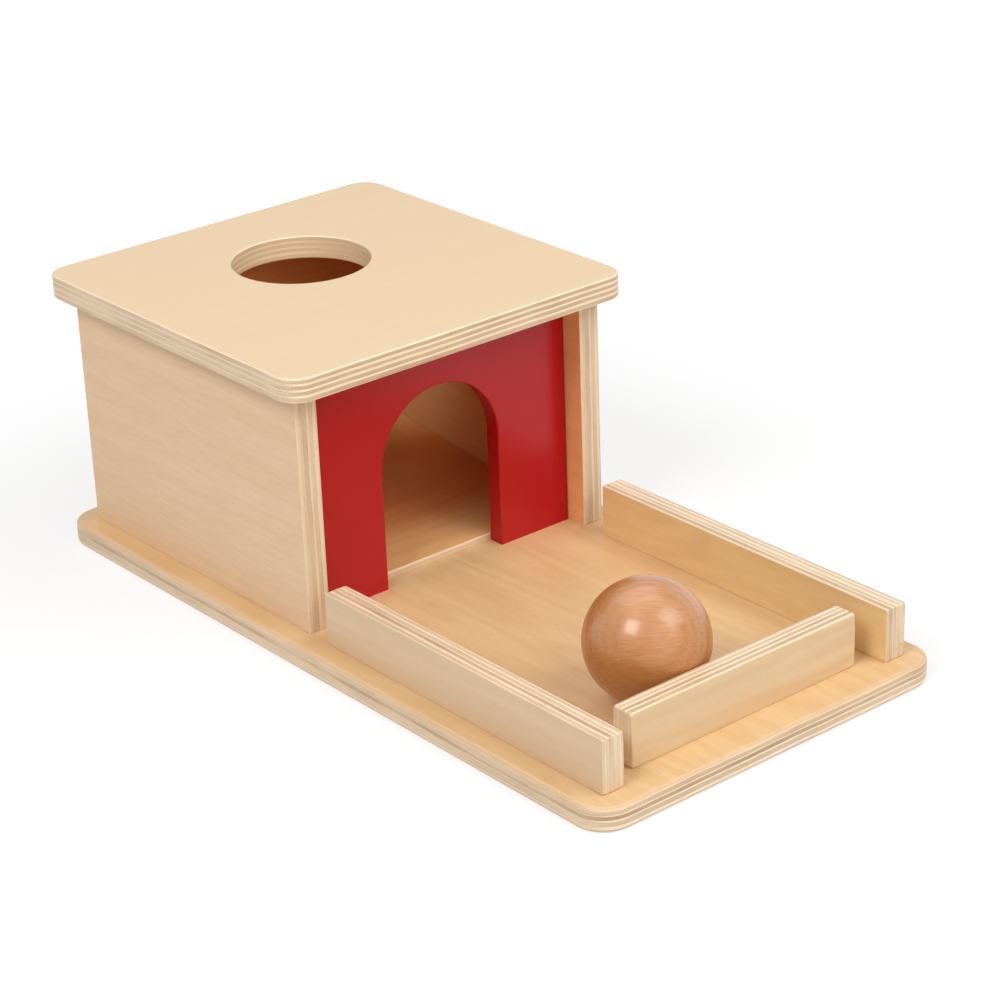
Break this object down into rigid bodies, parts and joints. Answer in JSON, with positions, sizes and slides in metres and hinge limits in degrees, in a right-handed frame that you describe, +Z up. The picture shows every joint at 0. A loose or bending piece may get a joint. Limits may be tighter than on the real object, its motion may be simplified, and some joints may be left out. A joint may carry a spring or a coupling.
{
  "type": "object permanence box",
  "caption": "Plywood box with a round drop hole in its lid, a red arched doorway, a ramp inside and a railed tray that catches a beech ball.",
  "frame": {"origin": "under the middle of the base board, on the face it stands on", "axes": "+Z up, +Y along the base board towards the box, -Y towards the open tray, +X to the right of a child who faces the arch"},
  "size_m": [0.172, 0.341, 0.12],
  "materials": {
    "birch_plywood": "clear satin lacquer",
    "red_painted_plywood": "red satin paint",
    "beech": "clear satin lacquer",
    "zinc_plated_steel": "bright zinc"
  },
  "bodies": {
    "box": {"base_board": "birch_plywood", "box_side_left": "birch_plywood", "box_side_right": "birch_plywood", "box_back": "birch_plywood", "box_lid": "birch_plywood", "arch_panel": "red_painted_plywood", "ramp_board": "birch_plywood", "ramp_wedge_left": "beech", "ramp_wedge_right": "beech", "ramp_rear_cleat": "beech", "side_rail_left": "birch_plywood", "side_rail_right": "birch_plywood", "end_rail": "birch_plywood", "lid_dowels_left": "beech", "lid_dowels_right": "beech", "lid_dowels_back": "beech", "lid_dowels_panel": "beech", "panel_foot_dowels": "beech", "side_screws_left": "zinc_plated_steel", "side_screws_right": "zinc_plated_steel", "back_screws": "zinc_plated_steel", "rail_screws_left": "zinc_plated_steel", "rail_screws_right": "zinc_plated_steel", "end_rail_screws": "zinc_plated_steel"},
    "ball": {"ball": "beech"}
  },
  "joints": [
    {"name": "ball_roll", "type": "slide", "parent": "box", "child": "ball", "axis": [0.1271, 0.9919, 0], "range_m": [0, 0.1353]}
  ]
}
